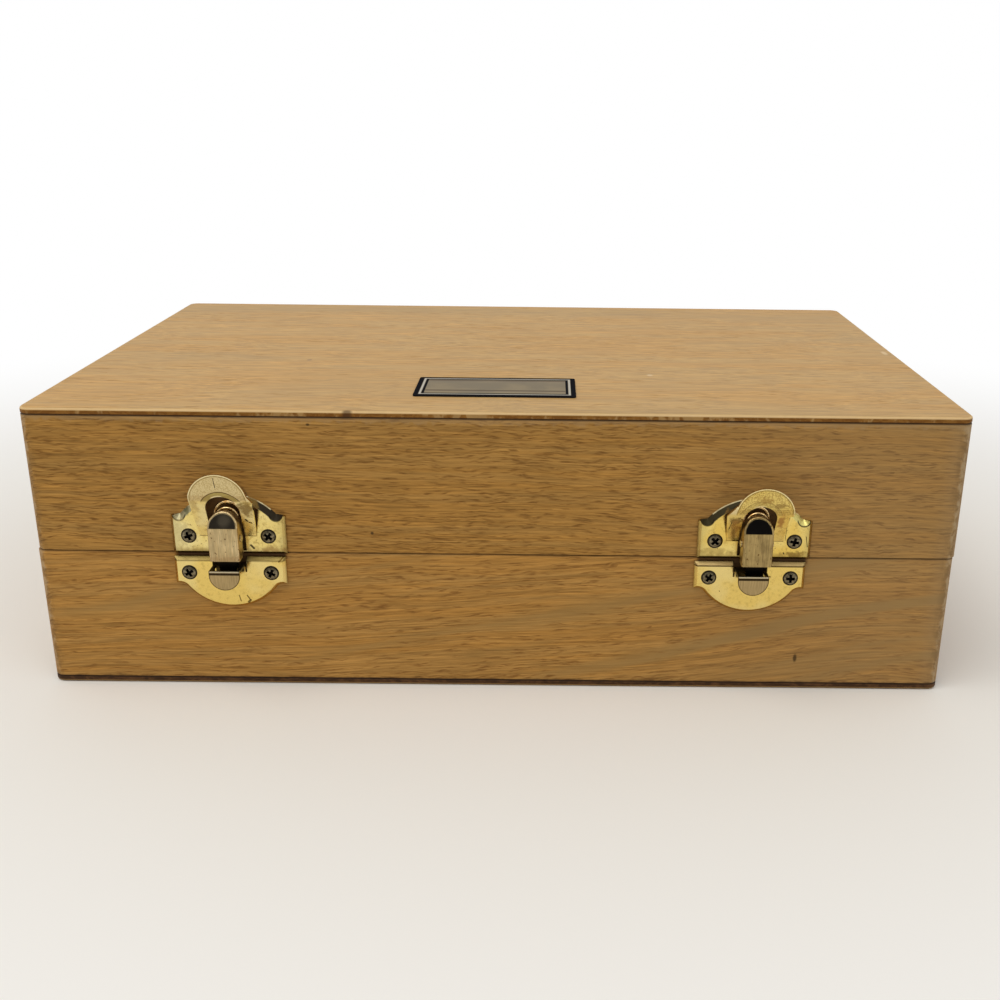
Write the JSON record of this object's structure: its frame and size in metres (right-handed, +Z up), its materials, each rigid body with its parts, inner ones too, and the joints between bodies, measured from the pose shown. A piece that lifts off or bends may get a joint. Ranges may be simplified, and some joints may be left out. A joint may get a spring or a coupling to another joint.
{
  "type": "loupe case",
  "caption": "Hinged wooden case with a padded inside, closed by sprung brass catches with press levers and lift tabs.",
  "frame": {"origin": "middle of the underside of the wooden base", "axes": "+X to the right seen from the front, +Y to the back, +Z up"},
  "size_m": [0.2403, 0.1622, 0.077],
  "materials": {
    "frame_wood": "open-grained hardwood, thin satin lacquer",
    "panel_wood": "fine-grained thin board, thin satin lacquer",
    "plate_brass": "stamped and brass plated, glossy with small stains",
    "strap_brass": "brushed, dulled brass plate",
    "hinge_brass": "brass plated",
    "dark_screw": "dark bronzed steel",
    "hinge_screw": "brass plated",
    "pin_steel": "drawn wire, lightly plated",
    "spring_wire": "golden-brown spring wire",
    "label_metal": "satin plate with a dark printed border",
    "foam": "charcoal open-cell foam"
  },
  "bodies": {
    "base": {"base_front_board": "frame_wood", "base_back_board": "frame_wood", "base_left_board": "frame_wood", "base_right_board": "frame_wood", "bottom_panel": "panel_wood", "base_foam_tray": "foam", "left_keeper_plate": "plate_brass", "left_keeper_screws": "dark_screw", "left_hinge_base_leaf": "hinge_brass", "left_hinge_base_screws": "hinge_screw", "left_hinge_pin": "pin_steel", "right_keeper_plate": "plate_brass", "right_keeper_screws": "dark_screw", "right_hinge_base_leaf": "hinge_brass", "right_hinge_base_screws": "hinge_screw", "right_hinge_pin": "pin_steel"},
    "lid": {"lid_front_board": "frame_wood", "lid_back_board": "frame_wood", "lid_left_board": "frame_wood", "lid_right_board": "frame_wood", "top_panel": "panel_wood", "lid_foam_pad": "foam", "label_plate": "label_metal", "left_latch_plate": "plate_brass", "left_latch_plate_screws": "dark_screw", "left_latch_pin": "pin_steel", "left_latch_spring": "spring_wire", "left_hinge_lid_leaf": "hinge_brass", "left_hinge_lid_screws": "hinge_screw", "right_latch_plate": "plate_brass", "right_latch_plate_screws": "dark_screw", "right_latch_pin": "pin_steel", "right_latch_spring": "spring_wire", "right_hinge_lid_leaf": "hinge_brass", "right_hinge_lid_screws": "hinge_screw"},
    "left_latch_lever": {"left_latch_lever": "strap_brass"},
    "right_latch_lever": {"right_latch_lever": "strap_brass"}
  },
  "joints": [
    {"name": "lid_hinge", "type": "hinge", "parent": "base", "child": "lid", "pos_m": [0, 0.077, 0.0383], "axis": [-1, 0, 0], "range_deg": [0, 179.5]},
    {"name": "left_latch_press", "type": "hinge", "parent": "lid", "child": "left_latch_lever", "pos_m": [-0.0688, -0.0794, 0.044], "axis": [-1, 0, 0], "range_deg": [0, 12], "stiffness_Nm_per_rad": 0.02, "springref_deg": -20.05, "deforming": ["left_latch_spring"]},
    {"name": "right_latch_press", "type": "hinge", "parent": "lid", "child": "right_latch_lever", "pos_m": [0.0669, -0.0794, 0.044], "axis": [-1, 0, 0], "range_deg": [0, 12], "stiffness_Nm_per_rad": 0.02, "springref_deg": -20.05, "deforming": ["right_latch_spring"]}
  ]
}
